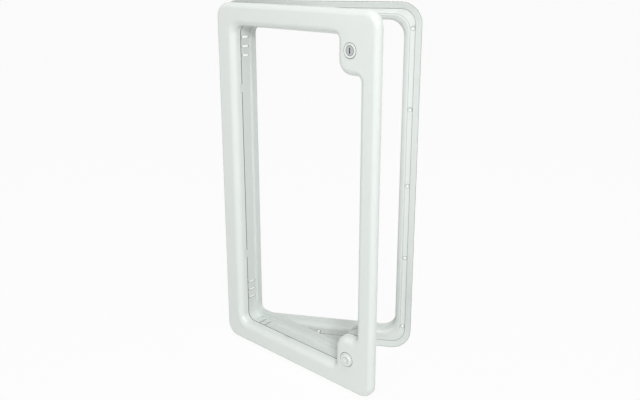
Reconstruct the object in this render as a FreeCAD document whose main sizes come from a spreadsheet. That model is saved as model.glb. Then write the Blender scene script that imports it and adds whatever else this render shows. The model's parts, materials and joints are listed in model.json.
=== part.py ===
"""Toilet service door of a caravan: a wall frame with a hinged, key-locked door.

Millimetres. X runs to the right, Y into the wall, Z up. The origin lies on the flange's rear face,
in the middle of the bottom rail. The door is drawn shut and then swung open about its hinge pins.
"""
import FreeCAD
import Part
import Sketcher
import math
import os
from FreeCAD import Placement, Rotation, Vector

SIZES = {
    # Wall frame
    "frame_wide": 386, "frame_tall": 700, "frame_corner": 40, "origin_height": 8,
    "rim_height": 8, "rim_edge": 1.5, "rim_run": 11, "land_thick": 3,
    "bead_inset": 22, "bead_wide": 3, "bead_height": 1,
    "hole_inset": 16.7, "hole_end": 48, "hole_bore": 4.4, "hole_head": 8, "hole_sink": 2,
    "opening_inset": 32.5, "opening_corner": 30, "lip_run": 6, "lip_drop": 5,
    "reveal_depth": 30, "reveal_wall": 3, "rib_step": 8, "rib_wide": 1.6, "rib_proud": 0.8,
    # Door cover
    "door_gap": 3, "cover_gap": 5, "cover_depth": 14, "cover_wall": 3.5, "door_corner": 28,
    "hinge_stile": 46, "lock_stile": 37.5, "rail": 42, "window_corner": 16,
    "boss_wide": 47.5, "boss_tall": 66, "boss_nose": 26, "boss_cove": 9,
    "edge_round": 10, "roll": 12, "collar_depth": 20, "hinge_skirt": 9, "edge_slope": 4, "roll_slope": 5,
    # Clamp ring behind the cover
    "ring_depth": 56, "ring_wall": 3, "ring_tuck": 6, "seat_thick": 2.5,
    "ring_lip": 4.5, "ring_lip_deep": 11, "ring_sill": 7.5,
    "slot_tall": 4, "slot_deep": 19, "slot_pitch": 17.5, "slot_drop": 25, "slot_rise": 44,
    "slot_inset": 29, "rail_slot_pitch": 15, "slot_back": 2.5,
    "tab_long": 15, "tab_deep": 3, "tab_play": 0.5, "upper_tab": 185, "lower_tab": 158, "rail_tab": 162,
    # Weather seal in the cover's channel
    "seal_inset": 18, "seal_wide": 6, "seal_deep": 17,
    # Hinge
    "open_angle": 30, "axis_inset": 7, "lug_end": 63,
    "lug_long": 16, "lug_radius": 4, "lug_web": 6, "lug_play": 1.5,
    "pin_radius": 2, "pin_play": 0.08, "knuckle_long": 14, "knuckle_wide": 9, "knuckle_deep": 8,
    "notch_skin": 2.5,
    # Key lock and push button
    "lock_inset": 56.5, "lock_drop": 66, "lock_bezel_radius": 13.5, "button_bezel_radius": 15,
    "bezel_proud": 1.2, "bezel_fit": 0.2, "sleeve_wall": 2.5, "sleeve_deep": 20,
    "barrel_radius": 8.5, "barrel_play": 0.08, "barrel_sink": 0.4,
    "key_slot_wide": 2.4, "key_slot_tall": 10, "key_slot_deep": 6,
    "stem_radius": 5, "cam_back": 62.5, "cam_thick": 3, "cam_wide": 12, "cam_reach": 40,
    "nut_across": 12, "nut_thick": 5, "button_radius": 10, "button_travel": 3, "button_deep": 16,
    "button_cup": 7, "button_cup_deep": 1.2,
    "housing_left": 24, "housing_right": 12, "housing_half": 20, "housing_back": 40, "housing_play": 0.5,
    "tongue_wide": 8, "tongue_tall": 16, "tongue_proud": 2, "tongue_back": 4,
    # Length by which a cutting tool runs past the face it cuts
    "over": 1,
}

doc = FreeCAD.newDocument("ServiceDoor")
sheet = doc.addObject("Spreadsheet::Sheet", "Sizes")
for row, (alias, value) in enumerate(SIZES.items(), start=1):
    sheet.set(f"A{row}", str(value))
    sheet.setAlias(f"A{row}", alias)
doc.recompute()


def full(expression):
    """Write each bare size name as a reference to the sheet."""
    words = []
    for word in expression.replace("(", "( ").replace(")", " )").split():
        words.append(f"Sizes.{word}" if word in SIZES else word)
    return " ".join(words)


def value(expression):
    return float(sheet.evalExpression(full(expression)))


# Places that several pieces share, written once as expressions
BOTTOM = "( 0 - origin_height )"
TOP = "( frame_tall - origin_height )"
MIDDLE = "( frame_tall / 2 - origin_height )"
DOOR_LEFT = "( 0 - frame_wide / 2 )"
DOOR_RIGHT = "( frame_wide / 2 )"
DOOR_BOTTOM = "( door_gap - origin_height )"
DOOR_TOP = "( frame_tall - origin_height - door_gap )"
FRONT = "( 0 - rim_height - cover_gap - cover_depth )"
AXIS_X = "( axis_inset - frame_wide / 2 )"
AXIS_Y = "( axis_inset - rim_height - cover_gap - cover_depth )"
LOCK_X = "( frame_wide / 2 - lock_inset )"
LOCK_Z = {"top": f"( {DOOR_TOP} - lock_drop )", "bottom": f"( {DOOR_BOTTOM} + lock_drop )"}
LUGS = {"top": f"( {TOP} - lug_end )", "middle": MIDDLE, "bottom": f"( {BOTTOM} + lug_end )"}
HOLE_PITCH = "( frame_tall / 4 - hole_end / 2 )"


def bind(thing, **expressions):
    for name, expression in expressions.items():
        thing.setExpression(name.replace("__", "."), full(expression))


def contour(name, level, *loops):
    """Sketch in the plane y = level: each loop lists its straight sides and the round after each side."""
    sketch = doc.addObject("Sketcher::SketchObject", name)
    sketch.Placement = Placement(Vector(0, 0, 0), Rotation(Vector(1, 0, 0), 90))
    bind(sketch, Placement__Base__y=level)
    for loop in loops:
        draw_loop(sketch, loop)
    return sketch


def draw_loop(sketch, loop):
    count = len(loop)
    places = [value(side) for _, side, _ in loop]
    rounds = [value(radius) for _, _, radius in loop]
    corners = []
    for i, (kind, _, _) in enumerate(loop):
        after = places[(i + 1) % count]
        corners.append(Vector(places[i], after, 0) if kind == "x" else Vector(after, places[i], 0))
    first = sketch.GeometryCount
    ends = []
    for i in range(count):
        along = (corners[i] - corners[i - 1]).normalize()
        onward = (corners[(i + 1) % count] - corners[i]).normalize()
        start, end = corners[i - 1] + along * rounds[i - 1], corners[i] - along * rounds[i]
        sketch.addGeometry(Part.LineSegment(start, end))
        sketch.addGeometry(corner_arc(corners[i], along, onward, rounds[i]))
        ends.append((1, 2) if along.cross(onward).z > 0 else (2, 1))
    for i, (kind, side, radius) in enumerate(loop):
        line, arc, following = first + 2 * i, first + 2 * i + 1, first + 2 * ((i + 1) % count)
        near, far = ends[i]
        upright = kind == "x"
        sketch.addConstraint(Sketcher.Constraint("Tangent", line, 2, arc, near))
        sketch.addConstraint(Sketcher.Constraint("Tangent", arc, far, following, 1))
        sketch.addConstraint(Sketcher.Constraint("Vertical" if upright else "Horizontal", line))
        place = sketch.addConstraint(
            Sketcher.Constraint("DistanceX" if upright else "DistanceY", -1, 1, line, 1, places[i]))
        bend = sketch.addConstraint(Sketcher.Constraint("Radius", arc, rounds[i]))
        sketch.setExpression(f"Constraints[{place}]", full(side))
        sketch.setExpression(f"Constraints[{bend}]", full(radius))


def corner_arc(corner, along, onward, radius):
    """Quarter arc that rounds a corner, drawn anticlockwise whichever way the loop turns."""
    circle = Part.Circle(corner - along * radius + onward * radius, Vector(0, 0, 1), radius)
    start = onward * -1 if along.cross(onward).z > 0 else along
    first_angle = math.atan2(start.y, start.x)
    return Part.ArcOfCircle(circle, first_angle, first_angle + math.pi / 2)


def box_loop(left, right, bottom, top, radius):
    return [("x", left, radius), ("z", top, radius), ("x", right, radius), ("z", bottom, radius)]


def frame_loop(inset, radius):
    """Rounded rectangle that lies an inset inside the wall frame's outer edge."""
    return box_loop(f"{inset} - frame_wide / 2", f"frame_wide / 2 - {inset}",
                    f"{BOTTOM} + {inset}", f"{TOP} - {inset}", radius)


def door_loop(inset):
    """Rounded rectangle that lies an inset inside the door's outer edge."""
    return box_loop(f"{DOOR_LEFT} + {inset}", f"{DOOR_RIGHT} - {inset}",
                    f"{DOOR_BOTTOM} + {inset}", f"{DOOR_TOP} - {inset}", f"door_corner - {inset}")


def window_loop(grow, tuck="0", sill="0"):
    """The door's window with a lock boss in both right-hand corners, grown into the plastic.

    The tuck moves its lock side inwards and the sill raises its lower side.
    """
    left = f"{DOOR_LEFT} + hinge_stile - {grow}"
    right = f"{DOOR_RIGHT} - lock_stile - {tuck} + {grow}"
    nose = f"{DOOR_RIGHT} - lock_stile - boss_wide + {grow}"
    top = f"{DOOR_TOP} - rail + {grow}"
    bottom = f"{DOOR_BOTTOM} + rail + {sill} - {grow}"
    upper = f"{DOOR_TOP} - rail - boss_tall + {grow}"
    lower = f"{DOOR_BOTTOM} + rail + boss_tall - {grow}"
    corner, cove, round_nose = f"window_corner + {grow}", f"boss_cove + {grow}", f"boss_nose - {grow}"
    return [("x", left, corner), ("z", top, cove), ("x", nose, round_nose), ("z", upper, cove),
            ("x", right, cove), ("z", lower, round_nose), ("x", nose, cove), ("z", bottom, corner)]


def extrude(name, sketch, length):
    solid = doc.addObject("Part::Extrusion", name)
    solid.Base = sketch
    solid.DirMode = "Custom"
    solid.Dir = Vector(0, 1, 0)
    solid.Solid = True
    bind(solid, LengthFwd=length)
    return solid


def loft(name, *sketches):
    solid = doc.addObject("Part::Loft", name)
    solid.Sections = list(sketches)
    solid.Solid = True
    solid.Ruled = True
    return solid


def box(name, x, y, z, length, width, height):
    block = doc.addObject("Part::Box", name)
    bind(block, Length=length, Width=width, Height=height,
         Placement__Base__x=x, Placement__Base__y=y, Placement__Base__z=z)
    return block


def rod(name, x, y, z, radius, length, along):
    """Cylinder that starts at a point and runs along +Y or +Z."""
    cylinder = doc.addObject("Part::Cylinder", name)
    if along == "y":
        cylinder.Placement = Placement(Vector(0, 0, 0), Rotation(Vector(1, 0, 0), -90))
    bind(cylinder, Radius=radius, Height=length,
         Placement__Base__x=x, Placement__Base__y=y, Placement__Base__z=z)
    return cylinder


def fuse(name, *pieces):
    union = doc.addObject("Part::MultiFuse", name)
    union.Shapes = list(pieces)
    return union


def cut(name, base, *tools):
    difference = doc.addObject("Part::Cut", name)
    difference.Base = base
    difference.Tool = tools[0] if len(tools) == 1 else fuse(name + "_tools", *tools)
    return difference


def front_edges(shape, level):
    """Edge numbers of the face that lies at y = level: its outer loop, then its inner loops."""
    for face in shape.Faces:
        if abs(face.BoundBox.YMin - level) < 1e-6 and abs(face.BoundBox.YMax - level) < 1e-6:
            outer = [edge.hashCode() for edge in face.OuterWire.Edges]
            inner = [edge.hashCode() for edge in face.Edges if edge.hashCode() not in outer]
            numbers = {edge.hashCode(): i for i, edge in enumerate(shape.Edges, start=1)}
            return [numbers[code] for code in outer], [numbers[code] for code in inner]
    raise RuntimeError("no face at that level")


def ease(kind, name, base, level, outer_size, inner_size):
    """Fillet or chamfer the edges of the face at y = level, with one size outside and one at the window."""
    eased = doc.addObject(kind, name)
    eased.Base = base
    outer, inner = front_edges(base.Shape, value(level))
    eased.Edges = [(edge, value(outer_size), value(outer_size)) for edge in outer] + [
        (edge, value(inner_size), value(inner_size)) for edge in inner]
    return eased


# Wall frame: tray-like flange with a raised rim, a land for the screws and a ribbed reveal
LIP_FOOT = "( lip_drop - land_thick - bead_height )"
flange = extrude("flange", contour("flange_outline", "0 - rim_height", frame_loop("0", "frame_corner")),
                 "rim_height")
tray = loft("tray",
            contour("tray_mouth", "0 - rim_height", frame_loop("rim_edge", "frame_corner - rim_edge")),
            contour("tray_floor", "0 - land_thick",
                    frame_loop("( rim_edge + rim_run )", "frame_corner - rim_edge - rim_run")))
bead = extrude("bead", contour("bead_outline", "0 - land_thick - bead_height",
                               frame_loop("bead_inset", "opening_corner"),
                               frame_loop("( bead_inset + bead_wide )", "opening_corner")), "bead_height")
sleeve = extrude("reveal_sleeve",
                 contour("sleeve_outline", "0 - land_thick / 2",
                         frame_loop("( opening_inset - reveal_wall )", "opening_corner + reveal_wall")),
                 "reveal_depth + land_thick / 2")
lip = loft("lip_slope",
           contour("lip_mouth", "0 - land_thick - bead_height",
                   frame_loop("( opening_inset - lip_run )", "opening_corner")),
           contour("lip_throat", LIP_FOOT, frame_loop("opening_inset", "opening_corner")))
throat = extrude("throat", contour("throat_outline", LIP_FOOT, frame_loop("opening_inset", "opening_corner")),
                 f"reveal_depth - {LIP_FOOT}")
ribs = [extrude(f"reveal_rib_{number}",
                contour(f"rib_outline_{number}", f"{LIP_FOOT} + {number} * rib_step",
                        frame_loop("( opening_inset - rib_proud )", "opening_corner + rib_proud"),
                        frame_loop("( opening_inset + rib_proud )", "opening_corner - rib_proud")), "rib_wide")
        for number in (1, 2, 3)]

HOLE_PLACES = [(side, f"{MIDDLE} + {step} * {HOLE_PITCH}") for side in (-1, 1) for step in (-2, -1, 0, 1, 2)]
holes = []
for number, (side, height) in enumerate(HOLE_PLACES, start=1):
    across = f"{side} * ( frame_wide / 2 - hole_inset )"
    holes.append((f"side_hole_{number}", across, height))
holes.append(("bottom_hole", "0", f"{BOTTOM} + hole_inset"))
holes.append(("top_hole", "0", f"{TOP} - hole_inset"))
bores = []
for name, across, height in holes:
    bores.append(rod(name, across, "0 - land_thick - over", height, "hole_bore / 2",
                     "land_thick + 2 * over", "y"))
    head = doc.addObject("Part::Cone", name + "_head")
    head.Placement = Placement(Vector(0, 0, 0), Rotation(Vector(1, 0, 0), -90))
    bind(head, Radius1="hole_head / 2", Radius2="hole_bore / 2", Height="hole_sink",
         Placement__Base__x=across, Placement__Base__y="0 - land_thick", Placement__Base__z=height)
    bores.append(head)

lugs = []
for place, height in LUGS.items():
    start = f"{height} - lug_long / 2"
    lugs.append(rod(f"lug_eye_{place}", AXIS_X, AXIS_Y, start, "lug_radius", "lug_long", "z"))
    lugs.append(box(f"lug_web_{place}", f"{AXIS_X} - lug_web / 2", AXIS_Y, start,
                    "lug_web", f"0 - {AXIS_Y} - land_thick / 2", "lug_long"))
pin_bores = [rod(f"lug_bore_{place}", AXIS_X, AXIS_Y, f"{height} - lug_long / 2 - over", "pin_radius",
                 "lug_long + 2 * over", "z")
             for place, height in LUGS.items()]
frame_solid = fuse("frame_solid", cut("frame_tray", flange, tray), bead, sleeve)
frame_shell = cut("frame_shell", frame_solid, lip, throat, *bores)
wall_frame = cut("wall_frame", fuse("frame_with_lugs", frame_shell, *ribs, *lugs), *pin_bores)

# Hinge pins, pressed into the frame's lugs
pins = {place: rod(f"hinge_pin_{place}", AXIS_X, AXIS_Y, f"{height} - lug_long / 2 - lug_play - knuckle_long",
                   "pin_radius", "lug_long + 2 * lug_play + 2 * knuckle_long", "z")
        for place, height in LUGS.items()}

# Door cover: a hollow moulding with a rolled window edge and a collar behind the roll
slab = extrude("cover_slab", contour("cover_outline", FRONT, door_loop("0"), window_loop("0")), "cover_depth")
collar = extrude("cover_collar", contour("collar_outline", FRONT, window_loop("cover_wall"), window_loop("0")),
                 "collar_depth")
blank = fuse("cover_blank", slab, collar)
doc.recompute()
rounded = ease("Part::Fillet", "cover_rounded", blank, FRONT, "edge_round", "roll")
INSIDE = f"( {FRONT} + cover_wall )"
hollow_blank = extrude("hollow_blank", contour("hollow_outline", INSIDE, door_loop("cover_wall"),
                                               window_loop("cover_wall")), "collar_depth")
doc.recompute()
hollow = ease("Part::Chamfer", "cover_hollow", hollow_blank, INSIDE, "edge_slope", "roll_slope")
hinge_relief = box("hinge_relief", f"{DOOR_LEFT} - over", f"{FRONT} + hinge_skirt",
                   f"{DOOR_BOTTOM} + door_corner", "cover_wall + over", "cover_depth",
                   "frame_tall - 2 * door_gap - 2 * door_corner")
notches = [box(f"lug_notch_{place}", f"{DOOR_LEFT} - over", f"{FRONT} + notch_skin",
               f"{height} - lug_long / 2 - lug_play",
               "axis_inset + lug_radius + lug_play + over", "cover_depth", "lug_long + 2 * lug_play")
           for place, height in LUGS.items()]
CORE = {"top": "barrel_radius", "bottom": "button_radius"}
sockets = [rod(f"boss_bore_{place}", LOCK_X, f"{FRONT} - over", height,
               f"{CORE[place]} + sleeve_wall + bezel_fit", "collar_depth", "y")
           for place, height in LOCK_Z.items()]


def tabs(name, wall, play):
    """Blocks across the joint of cover and ring, at two places on the hinge stile and one on the sill."""
    long, deep = f"tab_long + 2 * {play}", f"tab_deep + {play}"
    start = f"{FRONT} + collar_depth - tab_deep - {play}"
    left = f"{DOOR_LEFT} + hinge_stile - {wall}"
    blocks = []
    for place, offset in (("upper", "+ upper_tab"), ("lower", "- lower_tab")):
        height = f"{MIDDLE} {offset} - tab_long / 2 - {play}"
        blocks.append(box(f"{name}_{place}", left, start, height, wall, deep, long))
    blocks.append(box(f"{name}_rail", f"{DOOR_LEFT} + rail_tab - tab_long / 2 - {play}", start,
                      f"{DOOR_BOTTOM} + rail - {wall}", long, deep, wall))
    return blocks


tab_seats = tabs("tab_seat", "cover_wall", "tab_play")
door_cover = cut("door_cover_shut", rounded, hollow, hinge_relief, *notches, *sockets, *tab_seats)

# Clamp ring: a deep wall behind the collar with a seat, a rear lip, tabs into the collar and slots
ring_seat = extrude("ring_seat", contour("seat_outline", f"{FRONT} + collar_depth", window_loop("cover_wall"),
                                         window_loop("0", "ring_tuck")), "seat_thick")
ring_wall = extrude("ring_wall_run", contour("ring_outline", f"{FRONT} + collar_depth",
                                             window_loop("ring_wall", "ring_tuck"),
                                             window_loop("0", "ring_tuck")), "ring_depth - collar_depth")
ring_lip = extrude("ring_lip_run", contour("lip_outline", f"{FRONT} + ring_depth - ring_lip_deep",
                                           window_loop("ring_wall", "ring_tuck"),
                                           window_loop("( 0 - ring_lip )", "ring_tuck", "ring_sill")),
                   "ring_lip_deep")
slots = []
slot_front = f"{FRONT} + collar_depth + slot_back"
for number in range(3):
    reach = f"{number} * slot_pitch"
    for end, height in (("bottom", f"{DOOR_BOTTOM} + rail + slot_rise + {reach}"),
                        ("top", f"{DOOR_TOP} - rail - slot_drop - {reach}")):
        slots.append(box(f"stile_slot_{end}_{number}", f"{DOOR_LEFT} + hinge_stile - ring_wall - over",
                         slot_front, height, "ring_wall + 2 * over", "slot_deep", "slot_tall"))
for number in range(2):
    across = f"{DOOR_LEFT} + hinge_stile + slot_inset + {number} * rail_slot_pitch"
    for end, height in (("bottom", f"{DOOR_BOTTOM} + rail - ring_wall - over"),
                        ("top", f"{DOOR_TOP} - rail - over")):
        slots.append(box(f"rail_slot_{end}_{number}", across, slot_front,
                         height, "slot_tall", "slot_deep", "ring_wall + 2 * over"))
ring_solid = fuse("ring_solid", ring_seat, ring_wall, ring_lip, *tabs("ring_tab", "ring_wall", "0"))
door_ring = cut("door_clamp_shut", ring_solid, *slots)

# Weather seal, seated on the inside of the cover's front
door_seal = extrude("seal_shut", contour("seal_outline", f"{FRONT} + cover_wall",
                                         door_loop("seal_inset"), door_loop("( seal_inset + seal_wide )")),
                    "seal_deep - cover_wall")

# Hinge knuckles of the door, one block above and one below each lug
knuckles = {}
for place, height in LUGS.items():
    blocks = []
    for end, start in (("over", f"{height} + lug_long / 2 + lug_play"),
                       ("under", f"{height} - lug_long / 2 - lug_play - knuckle_long")):
        blocks.append(box(f"knuckle_{end}_{place}", f"{DOOR_LEFT} + cover_wall", f"{FRONT} + cover_wall", start,
                          "knuckle_wide", "knuckle_deep", "knuckle_long"))
    seated = doc.addObject("Part::Common", f"knuckle_seated_{place}")
    seated.Base = fuse(f"knuckle_pair_{place}", *blocks)
    seated.Tool = hollow
    eye = rod(f"knuckle_bore_{place}", AXIS_X, AXIS_Y, f"{height} - lug_long - knuckle_long",
              "pin_radius + pin_play", "2 * lug_long + 2 * knuckle_long", "z")
    knuckles[place] = cut(f"knuckle_shut_{place}", seated, eye)

# Bezels, housings and latch tongues, the same at the key lock and at the push button
bezels, housings, tongues = {}, {}, {}
for place, name in (("top", "lock"), ("bottom", "button")):
    height, core = LOCK_Z[place], CORE[place]
    disc = rod(f"{name}_bezel_disc", LOCK_X, f"{FRONT} - bezel_proud", height, f"{name}_bezel_radius",
               "bezel_proud", "y")
    tube = rod(f"{name}_bezel_tube", LOCK_X, FRONT, height, f"{core} + sleeve_wall", "sleeve_deep", "y")
    bore = rod(f"{name}_bezel_bore", LOCK_X, f"{FRONT} - bezel_proud - over", height, f"{core} + barrel_play",
               "sleeve_deep + bezel_proud + 2 * over", "y")
    bezels[place] = cut(f"{name}_bezel_shut", fuse(f"{name}_bezel_solid", disc, tube), bore)
    block = box(f"{name}_housing_block", f"{LOCK_X} - housing_left", f"{FRONT} + collar_depth",
                f"{height} - housing_half", "housing_left + housing_right", "housing_back - collar_depth",
                "2 * housing_half")
    pocket = rod(f"{name}_housing_bore", LOCK_X, FRONT, height, f"{core} + housing_play",
                 "housing_back + over", "y")
    housings[place] = cut(f"{name}_housing_shut", block, pocket)
    tongues[place] = box(f"{name}_tongue_shut", f"{LOCK_X} + housing_right",
                         f"{FRONT} + collar_depth + tongue_back", f"{height} - tongue_tall / 2",
                         "tongue_proud", "tongue_wide", "tongue_tall")

# Key barrel with its stem, the cam on the stem and the nut behind it
barrel = rod("barrel_body", LOCK_X, f"{FRONT} - bezel_proud + barrel_sink", LOCK_Z["top"], "barrel_radius",
             "housing_back + bezel_proud - barrel_sink", "y")
stem = rod("barrel_stem", LOCK_X, f"{FRONT} + housing_back", LOCK_Z["top"], "stem_radius",
           "cam_back - housing_back", "y")
key_slot = box("key_slot", f"{LOCK_X} - key_slot_wide / 2", f"{FRONT} - bezel_proud - over",
               f"{LOCK_Z['top']} - key_slot_tall / 2", "key_slot_wide", "key_slot_deep + over", "key_slot_tall")
lock_barrel = cut("barrel_shut", fuse("barrel_solid", barrel, stem), key_slot)
lock_cam = box("cam_shut", f"{LOCK_X} - cam_wide / 2", f"{FRONT} + cam_back",
               f"{LOCK_Z['top']} - cam_reach", "cam_wide", "cam_thick", "cam_reach + cam_wide / 2")
nut_prism = doc.addObject("Part::Prism", "nut_shut")
nut_prism.Polygon = 6
nut_prism.Placement = Placement(Vector(0, 0, 0), Rotation(Vector(1, 0, 0), -90))
bind(nut_prism, Circumradius="nut_across / 2", Height="nut_thick", Placement__Base__x=LOCK_X,
     Placement__Base__y=f"{FRONT} + cam_back + cam_thick", Placement__Base__z=LOCK_Z["top"])

# Push button with a cupped face
BUTTON_FACE = f"( {FRONT} - bezel_proud - button_travel )"
button_body = rod("button_body", LOCK_X, BUTTON_FACE, LOCK_Z["bottom"], "button_radius", "button_deep", "y")
cup = rod("button_cup_tool", LOCK_X, f"{BUTTON_FACE} - over", LOCK_Z["bottom"], "button_cup",
          "button_cup_deep + over", "y")
push_button = cut("button_shut", button_body, cup)

doc.recompute()

# The door and all it carries swing open about the hinge pins
axis = Vector(value(AXIS_X), value(AXIS_Y), 0)
swing = Rotation(Vector(0, 0, 1), -value("open_angle"))
opened = Placement(Vector(0, 0, 0), swing, axis)
door_pieces = {"door_cover_frame": door_cover, "door_clamp_ring": door_ring, "door_seal": door_seal,
               "lock_bezel": bezels["top"], "button_bezel": bezels["bottom"],
               "lock_housing": housings["top"], "latch_housing": housings["bottom"],
               "lock_tongue": tongues["top"], "latch_tongue": tongues["bottom"],
               "lock_barrel": lock_barrel, "lock_cam": lock_cam, "cam_nut": nut_prism,
               "push_button": push_button}
for place in LUGS:
    door_pieces[f"hinge_knuckle_{place}"] = knuckles[place]
frame_pieces = {"wall_frame": wall_frame}
for place in LUGS:
    frame_pieces[f"hinge_pin_{place}"] = pins[place]

nodes = {}
for name, piece in frame_pieces.items():
    nodes[name] = piece
for name, piece in door_pieces.items():
    node = doc.addObject("Part::Compound", name)
    node.Links = [piece]
    node.Placement = opened
    nodes[name] = node
for name, node in nodes.items():
    node.Label = name
doc.recompute()

for thing in doc.Objects:
    if "Invalid" in thing.State or "Error" in thing.State:
        raise RuntimeError(f"{thing.Name} failed: {thing.State}")
for name, node in nodes.items():
    if node.Shape.isNull() or not node.Shape.isValid() or not node.Shape.Solids:
        raise RuntimeError(f"{name} has no valid solid")

os.makedirs("parts", exist_ok=True)
for name, node in nodes.items():
    node.Shape.exportStep(f"parts/{name}.step")
    print(name, len(node.Shape.Solids), round(node.Shape.Volume))
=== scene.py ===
import json
import math
import bmesh
import bpy
from mathutils import Matrix, Vector


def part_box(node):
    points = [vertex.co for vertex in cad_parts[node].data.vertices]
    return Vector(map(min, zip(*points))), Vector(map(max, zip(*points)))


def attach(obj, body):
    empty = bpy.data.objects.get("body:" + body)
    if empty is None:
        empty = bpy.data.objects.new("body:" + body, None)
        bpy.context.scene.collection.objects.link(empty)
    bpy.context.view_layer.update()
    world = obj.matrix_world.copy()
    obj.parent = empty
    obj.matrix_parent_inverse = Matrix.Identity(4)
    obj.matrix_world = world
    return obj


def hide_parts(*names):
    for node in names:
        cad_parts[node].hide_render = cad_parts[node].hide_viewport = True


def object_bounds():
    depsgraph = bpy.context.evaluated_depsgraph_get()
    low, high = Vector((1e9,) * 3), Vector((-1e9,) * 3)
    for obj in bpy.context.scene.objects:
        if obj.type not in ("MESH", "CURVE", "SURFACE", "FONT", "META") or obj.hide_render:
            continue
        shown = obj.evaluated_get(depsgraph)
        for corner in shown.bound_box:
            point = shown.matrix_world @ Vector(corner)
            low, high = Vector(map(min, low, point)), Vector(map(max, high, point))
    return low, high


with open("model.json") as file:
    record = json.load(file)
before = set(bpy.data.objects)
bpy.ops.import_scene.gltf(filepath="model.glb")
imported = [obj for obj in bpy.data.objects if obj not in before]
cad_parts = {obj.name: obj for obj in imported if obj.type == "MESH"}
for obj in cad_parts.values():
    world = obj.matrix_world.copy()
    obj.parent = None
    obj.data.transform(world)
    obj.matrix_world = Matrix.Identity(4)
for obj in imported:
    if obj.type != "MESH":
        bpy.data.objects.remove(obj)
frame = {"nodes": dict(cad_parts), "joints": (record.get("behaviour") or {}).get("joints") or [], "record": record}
cadLow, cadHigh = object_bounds()
nodes = frame["nodes"]
print("frame loaded:", len(nodes), "nodes")


# Shader maths: sums on wires add Math nodes
class Wire:
    def __init__(self, tree, socket=None):
        self.tree = tree
        self.socket = socket

    def node(self, kind, settings, sockets, output=0):
        made = self.tree.nodes.new(kind)
        for name, setting in settings.items():
            setattr(made, name, setting)
        for name, feed in sockets.items():
            if isinstance(feed, Wire):
                self.tree.links.new(feed.socket, made.inputs[name])
            else:
                made.inputs[name].default_value = feed
        return Wire(self.tree, made.outputs[output])

    def math(self, operation, first, second):
        return self.node("ShaderNodeMath", {"operation": operation}, {0: first, 1: second})

    def __add__(self, other):
        return self.math("ADD", self, other)

    def __sub__(self, other):
        return self.math("SUBTRACT", self, other)

    def __rsub__(self, other):
        return self.math("SUBTRACT", other, self)

    def __mul__(self, other):
        return self.math("MULTIPLY", self, other)

    __radd__ = __add__
    __rmul__ = __mul__


def noise(wire, place, scale, detail):
    return wire.node("ShaderNodeTexNoise", {}, {"Vector": place, "Scale": scale, "Detail": detail}, "Fac")


# Finishes, one dictionary each: two colours that blend, gloss, and a fine moulded grain
finishes = {
    "moulding": {"light": (0.80, 0.84, 0.81), "dark": (0.77, 0.81, 0.78), "rough": 0.2,
                 "roughSpread": 0.04, "metal": 0.0, "grain": 900, "grainDepth": 0.02, "patch": 9, "coat": 0.5,
                 "shine": 0.3},
    "ring_plastic": {"light": (0.72, 0.76, 0.735), "dark": (0.67, 0.71, 0.685), "rough": 0.48,
                     "roughSpread": 0.08, "metal": 0.0, "grain": 1100, "grainDepth": 0.04, "patch": 12},
    "button_plastic": {"light": (0.82, 0.85, 0.83), "dark": (0.79, 0.82, 0.80), "rough": 0.30,
                       "roughSpread": 0.05, "metal": 0.0, "grain": 1200, "grainDepth": 0.015, "patch": 30},
    "mechanism_plastic": {"light": (0.58, 0.61, 0.60), "dark": (0.52, 0.55, 0.54), "rough": 0.5,
                          "roughSpread": 0.1, "metal": 0.0, "grain": 1000, "grainDepth": 0.05, "patch": 25},
    "seal_rubber": {"light": (0.17, 0.175, 0.175), "dark": (0.13, 0.135, 0.135), "rough": 0.68,
                    "roughSpread": 0.1, "metal": 0.0, "grain": 1400, "grainDepth": 0.08, "patch": 40},
    "lock_metal": {"light": (0.56, 0.57, 0.58), "dark": (0.45, 0.46, 0.47), "rough": 0.3,
                   "roughSpread": 0.12, "metal": 0.9, "grain": 1600, "grainDepth": 0.02, "patch": 120},
    "zinc_steel": {"light": (0.60, 0.60, 0.58), "dark": (0.48, 0.48, 0.47), "rough": 0.38,
                   "roughSpread": 0.15, "metal": 1.0, "grain": 1300, "grainDepth": 0.03, "patch": 90},
    "pin_steel": {"light": (0.58, 0.58, 0.58), "dark": (0.50, 0.50, 0.50), "rough": 0.25,
                  "roughSpread": 0.1, "metal": 1.0, "grain": 1500, "grainDepth": 0.02, "patch": 100},
}


# What all finishes share: the detail of the two noises, how far the grain stands out, and the gloss
finishBase = {"patchDetail": 3.0, "grainDetail": 2.0, "grainReach": 0.0004, "shine": 0.5, "coatRough": 0.06}


# The door's own directions: its normal points to the rear, and the key lock's axis stands on its front
lockJoint = next(joint for joint in frame["joints"] if joint["name"] == "lock_turn")
doorNormal = -Vector(lockJoint["axis"])
doorAcross = doorNormal.cross(Vector((0, 0, -1)))
lockSpot = Vector(lockJoint["pos_m"])

# Painted shade: a dark line in the clamp ring's colour where it meets the cover, standing in for the shadow in the
# gap between them; it breaks at the ring's three tabs
ringJointShade = {"depth": 0.0206, "half": 0.0009, "shade": 0.85, "tabHalf": 0.008, "stileTabs": (0.527, 0.184),
             "railTab": -0.1675}


def paintedJointShade(wire, place):
    def along(direction):  # distance from the lock's centre
        settings = {"operation": "DOT_PRODUCT"}
        dot = wire.node("ShaderNodeVectorMath", settings, {0: place, 1: direction}, "Value")
        return dot - direction.dot(lockSpot)

    def near(value, middle, half):
        return wire.node("ShaderNodeMath", {"operation": "COMPARE"}, {0: value, 1: middle, 2: half})

    across = along(doorAcross)
    height = wire.node("ShaderNodeSeparateXYZ", {}, {"Vector": place}, "Z")
    line = near(along(doorNormal), ringJointShade["depth"], ringJointShade["half"])
    tabs = [(height, tab) for tab in ringJointShade["stileTabs"]] + [(across, ringJointShade["railTab"])]
    for value, middle in tabs:
        line = line * (1 - near(value, middle, ringJointShade["tabHalf"]))
    return line


def blend(wire, share, first, second):
    return wire.node("ShaderNodeMix", {"data_type": "RGBA"}, {0: share, 6: first, 7: second}, 2)


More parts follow.
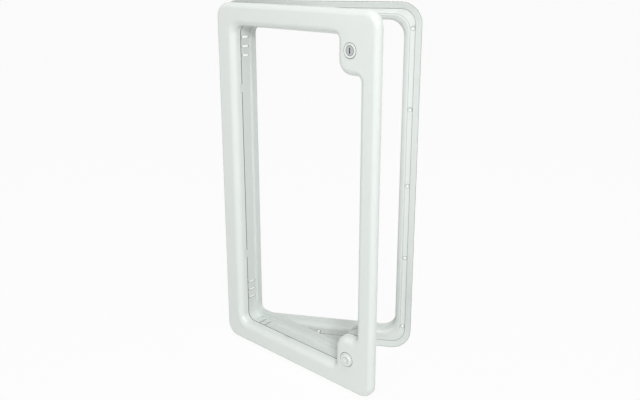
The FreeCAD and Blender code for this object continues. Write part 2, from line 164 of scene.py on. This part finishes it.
def makeFinish(name, look):
    material = bpy.data.materials.new(name)
    material.use_nodes = True
    tree = material.node_tree
    shader = tree.nodes["Principled BSDF"]
    wire = Wire(tree)
    place = wire.node("ShaderNodeTexCoord", {}, {}, "Object")
    patches = noise(wire, place, look["patch"], finishBase["patchDetail"])
    grain = noise(wire, place, look["grain"], finishBase["grainDetail"])
    colour = blend(wire, patches, (*look["dark"], 1), (*look["light"], 1))
    # Painted shade: the ring's colour is darkened along its joint with the cover
    if name == "ring_plastic":
        shade = tuple(channel * (1 - ringJointShade["shade"]) for channel in look["dark"])
        colour = blend(wire, paintedJointShade(wire, place), colour, (*shade, 1))
    rough = look["rough"] + (patches - 0.5) * look["roughSpread"]
    bump = wire.node("ShaderNodeBump", {}, {"Strength": look["grainDepth"], "Height": grain,
                                            "Distance": finishBase["grainReach"]})
    tree.links.new(colour.socket, shader.inputs["Base Color"])
    tree.links.new(rough.socket, shader.inputs["Roughness"])
    tree.links.new(bump.socket, shader.inputs["Normal"])
    shader.inputs["Metallic"].default_value = look["metal"]
    shader.inputs["Specular IOR Level"].default_value = look.get("shine", finishBase["shine"])
    shader.inputs["Coat Weight"].default_value = look.get("coat", 0.0)
    shader.inputs["Coat Roughness"].default_value = finishBase["coatRough"]
    return material


materials = {name: makeFinish(name, look) for name, look in finishes.items()}
print("finishes made:", len(materials))


# A node that no new piece replaces is shown through a merged copy, so that its rounds shade smoothly
smoothing = {"mergeGapShade": 0.00001, "creaseDegrees": 16, "flatWeight": 80, "newCreaseDegrees": 40}
bodyOf = {node: body for body, members in frame["record"]["behaviour"]["bodies"].items() for node in members}
slotOf = {piece["node"]: piece["material_slot"] for piece in frame["record"]["subparts"]}


def smoothCopy(node):
    mesh = nodes[node].data.copy()
    work = bmesh.new()
    work.from_mesh(mesh)
    bmesh.ops.remove_doubles(work, verts=work.verts, dist=smoothing["mergeGapShade"])
    for face in work.faces:
        face.smooth = True
    work.to_mesh(mesh)
    work.free()
    mesh.set_sharp_from_angle(angle=math.radians(smoothing["creaseDegrees"]))
    piece = bpy.data.objects.new(node + "Smooth", mesh)
    bpy.context.scene.collection.objects.link(piece)
    level = piece.modifiers.new("flatFacesStayFlat", "WEIGHTED_NORMAL")
    level.weight = smoothing["flatWeight"]
    level.keep_sharp = True
    return piece


# Turned pieces of the lock and the button, spun about their own axis in the door's front
turned = {
    "lockRing": {"node": "lock_bezel", "outer": 0.0123, "core": 0.0086, "sleeve": 0.011, "proud": 0.0012,
                 "seam": {"inner": 0.0078, "outer": 0.0085, "level": 0.00085, "body": "lock"}},
    "buttonRing": {"node": "button_bezel", "outer": 0.0132, "core": 0.0101, "sleeve": 0.0125,
                   "proud": 0.0012},
    "deep": 0.020, "edge": 0.0005, "edgeSegments": 3, "steps": 64, "near": 1e-6,
}
buttonLook = {"radius": 0.010, "front": 0.0042, "deep": 0.0118, "dish": 0.0016, "rim": 0.0018,
              "dishSteps": ((0.7, 0.5), (0.35, 0.88)),  # shares of the dish's radius and depth
              "seam": {"inner": 0.0054, "outer": 0.0059, "level": 0.00352, "body": "button"}}
# Width and lift of the painted-shade ring laid round each bezel
bezelShadeRing = {"wide": 0.0011, "lift": 0.00004}
buttonLow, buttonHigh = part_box("push_button")
buttonSpot = Vector((lockSpot.x, lockSpot.y, (buttonLow.z + buttonHigh.z) / 2))  # straight below the lock


def doorMatrix(spot):
    turn = Matrix((-doorAcross, Vector((0, 0, 1)), -doorNormal)).transposed().to_4x4()  # z looks out
    return Matrix.Translation(spot) @ turn


def faceOutwards(work, outwards):  # an open sheet has no inside, so its side is chosen here
    work.normal_update()
    facing = sum((face.normal * face.calc_area() for face in work.faces), Vector())
    if facing.dot(outwards) < 0:
        bmesh.ops.reverse_faces(work, faces=work.faces)


def onCircle(line, radius, height):
    return all(abs(vert.co.xy.length - radius) < turned["near"] and abs(vert.co.z - height) < turned["near"]
               for vert in line.verts)


def spunPiece(name, profile, spot, closed, edges):  # a piece without edges to round is a flat line
    work = bmesh.new()
    verts = [work.verts.new((radius, 0, height)) for radius, height in profile]
    loop = verts + verts[:1] if closed else verts
    lines = [work.edges.new((first, second)) for first, second in zip(loop, loop[1:])]
    bmesh.ops.spin(work, geom=verts + lines, cent=(0, 0, 0), axis=(0, 0, 1), angle=2 * math.pi,
                   steps=turned["steps"], use_merge=True)
    bmesh.ops.remove_doubles(work, verts=work.verts, dist=smoothing["mergeGapShade"])
    bmesh.ops.recalc_face_normals(work, faces=work.faces)
    if edges:
        rims = [line for line in work.edges if any(onCircle(line, *circle) for circle in edges)]
        bmesh.ops.bevel(work, geom=rims, offset=turned["edge"], offset_type="OFFSET", affect="EDGES",
                        segments=turned["edgeSegments"], profile=0.5, material=-1)
    else:
        faceOutwards(work, Vector((0, 0, 1)))
    for face in work.faces:
        face.smooth = True
    bmesh.ops.transform(work, matrix=doorMatrix(spot), verts=work.verts)
    return finishedPiece(name, work)


def finishedPiece(name, work):
    mesh = bpy.data.meshes.new(name)
    work.to_mesh(mesh)
    work.free()
    mesh.set_sharp_from_angle(angle=math.radians(smoothing["newCreaseDegrees"]))
    piece = bpy.data.objects.new(name, mesh)
    bpy.context.scene.collection.objects.link(piece)
    return piece


def dressed(piece, slot, body, node=None):
    piece.data.materials.append(materials[slot])
    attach(piece, body)
    if node:
        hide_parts(node)


# Painted shade: a thin dark flat ring laid on a turned piece, standing in for the shadow where the lock's barrel
# meets its ring and in the button's dish
def makeShadeSeam(name, seam, spot):
    line = spunPiece(name, [(seam["inner"], seam["level"]), (seam["outer"], seam["level"])], spot, False, [])
    dressed(line, "seal_rubber", seam["body"])


def makeRing(name, look, spot):
    top, deep = look["proud"], -turned["deep"]
    profile = [(look["outer"], 0), (look["outer"], top), (look["core"], top), (look["core"], deep),
               (look["sleeve"], deep), (look["sleeve"], 0)]
    ring = spunPiece(name, profile, spot, True, [(look["outer"], top), (look["core"], top)])
    dressed(ring, "moulding", "door", look["node"])
    # Painted shade: a thin dark flat ring laid on the door's face round the bezel, standing in for the shadow in
    # the gap between bezel and cover
    outer = look["outer"] + bezelShadeRing["wide"]
    shadeGap = spunPiece(name + "GapShade", [(outer, 0), (outer, bezelShadeRing["lift"]), (look["outer"], bezelShadeRing["lift"])],
                    spot, False, [])
    dressed(shadeGap, "seal_rubber", "door")
    if "seam" in look:
        makeShadeSeam(name + "Seam", look["seam"], spot)


def makeButton():
    radius, front, back = buttonLook["radius"], buttonLook["front"], -buttonLook["deep"]
    dish, dishRadius = buttonLook["dish"], radius - buttonLook["rim"]
    profile = [(0, back), (radius, back), (radius, front), (dishRadius, front)]
    profile += [(dishRadius * out, front - dish * down) for out, down in buttonLook["dishSteps"]]
    profile.append((0, front - dish))
    button = spunPiece("dishedButton", profile, buttonSpot, False, [(radius, front), (dishRadius, front)])
    dressed(button, "button_plastic", "button", "push_button")
    makeShadeSeam("dishSeam", buttonLook["seam"], buttonSpot)


makeRing("lockRing", turned["lockRing"], lockSpot)
makeRing("buttonRing", turned["buttonRing"], buttonSpot)
makeButton()
print("lock and button turned")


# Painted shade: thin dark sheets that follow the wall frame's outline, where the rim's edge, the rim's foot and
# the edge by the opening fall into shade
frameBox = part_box("wall_frame")
frontward = Vector((0, -1, 0))
frameShadeLines = {
    "edgeShadeLine": {"inset": 0.0001, "corner": 0.0399, "level": -0.00804, "wide": 0.0006},
    "rimShadeLine": {"inset": 0.0120, "corner": 0.0280, "level": -0.00330, "wide": 0.0006},
    "beadShadeLine": {"inset": 0.0216, "corner": 0.0304, "level": -0.00305, "wide": 0.0005},
}
shadeLineSegments = 12


def makeFrameShadeLine(name, look):
    low, high = frameBox
    wide, tall = high.x - low.x - 2 * look["inset"], high.z - low.z - 2 * look["inset"]
    work = bmesh.new()
    bmesh.ops.create_grid(work, x_segments=1, y_segments=1, size=0.5)
    bmesh.ops.scale(work, vec=(wide, tall, 1), verts=work.verts)
    bmesh.ops.bevel(work, geom=work.verts[:], offset=look["corner"], offset_type="OFFSET", affect="VERTICES",
                    segments=shadeLineSegments, profile=0.5, material=-1)
    inner = work.faces[:]
    bmesh.ops.inset_region(work, faces=inner, thickness=look["wide"], use_boundary=True, use_even_offset=True)
    bmesh.ops.delete(work, geom=inner, context="FACES")
    middle = Vector(((low.x + high.x) / 2, look["level"], (low.z + high.z) / 2))
    upright = Matrix.Translation(middle) @ Matrix.Rotation(math.pi / 2, 4, "X")
    bmesh.ops.transform(work, matrix=upright, verts=work.verts)
    faceOutwards(work, frontward)
    dressed(finishedPiece(name, work), "seal_rubber", "frame")


# Painted shade: a thin dark ring round each countersunk screw hole, where its edge falls into shade, at the places
# that the record's bolt patterns name
holeShade = {"inner": 0.0040, "outer": 0.0045, "level": -0.00306, "steps": 32}


def holeSpots(mount):
    dims, middle = mount["dims"], mount["pos_m"]
    halves = [dims.get(name, 0) / 2000 for name in ("spacing_x_mm", "spacing_y_mm")]  # half of it, in metres
    for across in sorted({-halves[0], halves[0]}):
        for height in sorted({-halves[1], halves[1]}):
            yield Vector((middle[0] + across, holeShade["level"], middle[2] + height))


def makeHoleShades():
    work = bmesh.new()
    for mount in frame["record"]["mounts"]:
        if mount["kind"] != "bolt_pattern":
            continue
        for spot in holeSpots(mount):
            verts = [work.verts.new(spot + Vector((holeShade[side], 0, 0))) for side in ("inner", "outer")]
            line = work.edges.new(verts)
            bmesh.ops.spin(work, geom=verts + [line], cent=spot, axis=(0, 1, 0), angle=2 * math.pi,
                           steps=holeShade["steps"], use_merge=True)
    bmesh.ops.remove_doubles(work, verts=work.verts, dist=smoothing["mergeGapShade"])
    faceOutwards(work, frontward)
    dressed(finishedPiece("holeShadeRings", work), "seal_rubber", "frame")


for shadeLineName, shadeLine in frameShadeLines.items():
    makeFrameShadeLine(shadeLineName, shadeLine)
makeHoleShades()
print("grooves laid")


# The lock's and the button's nodes that were turned anew are done; all the others get a copy and a finish
for node in sorted(set(nodes) - {"lock_bezel", "button_bezel", "push_button"}):
    nodes[node].data.materials.clear()
    nodes[node].data.materials.append(materials[slotOf[node]])
    piece = smoothCopy(node)
    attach(piece, bodyOf[node])
    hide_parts(node)
print("nodes dressed")


# Floor, light and camera
floorLook = {"half": 40.0, "colour": (0.8, 0.8, 0.8, 1), "rough": 0.9, "whiteShare": 0.94}
lamps = {
    "keyLamp": {"place": (0.95, -2.7, 1.6), "aim": (0.0, -0.1, 0.35), "size": 0.7, "watts": 37},
    "topLamp": {"place": (0.3, -1.3, 2.8), "aim": (0.0, -0.1, 0.2), "size": 1.4, "watts": 28},
    "leftLamp": {"place": (-2.2, -1.7, 1.2), "aim": (0.0, -0.1, 0.35), "size": 1.4, "watts": 4},
}
worldLook = {"colour": (0.93, 0.95, 0.94, 1), "strength": 0.38}
view = {"focal": 713.46, "wide": 640, "sensor": 36.0, "place": (0.27468, -1.33234, 0.76063),
        "pitch": 0.276996, "yaw": 0.201701, "rise": -35.0, "reach": 100}  # focal, wide and rise in pixels


def whiteToCamera(wire):
    path = {name: wire.node("ShaderNodeLightPath", {}, {}, name)
            for name in ("Is Camera Ray", "Is Glossy Ray", "Is Transmission Ray")}
    shown = path["Is Camera Ray"] + path["Is Glossy Ray"] + path["Is Transmission Ray"]
    return wire.math("MINIMUM", shown, 1.0)


def makeFloor():
    work = bmesh.new()
    bmesh.ops.create_grid(work, x_segments=1, y_segments=1, size=floorLook["half"])
    bmesh.ops.translate(work, verts=work.verts, vec=(0, 0, cadLow[2]))
    mesh = bpy.data.meshes.new("floor")
    work.to_mesh(mesh)
    work.free()
    floor = bpy.data.objects.new("floor", mesh)
    bpy.context.scene.collection.objects.link(floor)
    material = bpy.data.materials.new("paleFloor")
    material.use_nodes = True
    tree = material.node_tree
    wire = Wire(tree)
    shader = tree.nodes["Principled BSDF"]
    shader.inputs["Base Color"].default_value = floorLook["colour"]
    shader.inputs["Roughness"].default_value = floorLook["rough"]
    glow = wire.node("ShaderNodeEmission", {}, {"Color": (1, 1, 1, 1), "Strength": 1.0})
    share = whiteToCamera(wire) * floorLook["whiteShare"]
    mixed = wire.node("ShaderNodeMixShader", {}, {0: share, 1: Wire(tree, shader.outputs[0]), 2: glow})
    tree.links.new(mixed.socket, tree.nodes["Material Output"].inputs["Surface"])
    mesh.materials.append(material)


def makeWorld():
    world = bpy.data.worlds.new("studio")
    world.use_nodes = True
    tree = world.node_tree
    wire = Wire(tree)
    soft = Wire(tree, tree.nodes["Background"].outputs[0])
    tree.nodes["Background"].inputs["Color"].default_value = worldLook["colour"]
    tree.nodes["Background"].inputs["Strength"].default_value = worldLook["strength"]
    white = wire.node("ShaderNodeBackground", {}, {"Color": (1, 1, 1, 1), "Strength": 1.0})
    mixed = wire.node("ShaderNodeMixShader", {}, {0: whiteToCamera(wire), 1: soft, 2: white})
    tree.links.new(mixed.socket, tree.nodes["World Output"].inputs["Surface"])
    bpy.context.scene.world = world


def makeLamp(name, look):
    data = bpy.data.lights.new(name, "AREA")
    data.energy = look["watts"]
    data.size = look["size"]
    lamp = bpy.data.objects.new(name, data)
    lamp.location = look["place"]
    lamp.rotation_euler = (Vector(look["aim"]) - Vector(look["place"])).to_track_quat("-Z", "Y").to_euler()
    bpy.context.scene.collection.objects.link(lamp)


def makeCamera():
    data = bpy.data.cameras.new("camera")
    data.sensor_width = view["sensor"]
    data.lens = view["focal"] / view["wide"] * view["sensor"]
    data.shift_y = view["rise"] / view["wide"]
    data.clip_end = view["reach"]
    camera = bpy.data.objects.new("camera", data)
    camera.location = view["place"]
    camera.rotation_euler = (math.pi / 2 - view["pitch"], 0, view["yaw"])
    bpy.context.scene.collection.objects.link(camera)
    bpy.context.scene.camera = camera


makeFloor()
makeWorld()
for lampName, lampLook in lamps.items():
    makeLamp(lampName, lampLook)
makeCamera()
bpy.context.scene.view_settings.view_transform = "Standard"
print("stage, light and camera set")
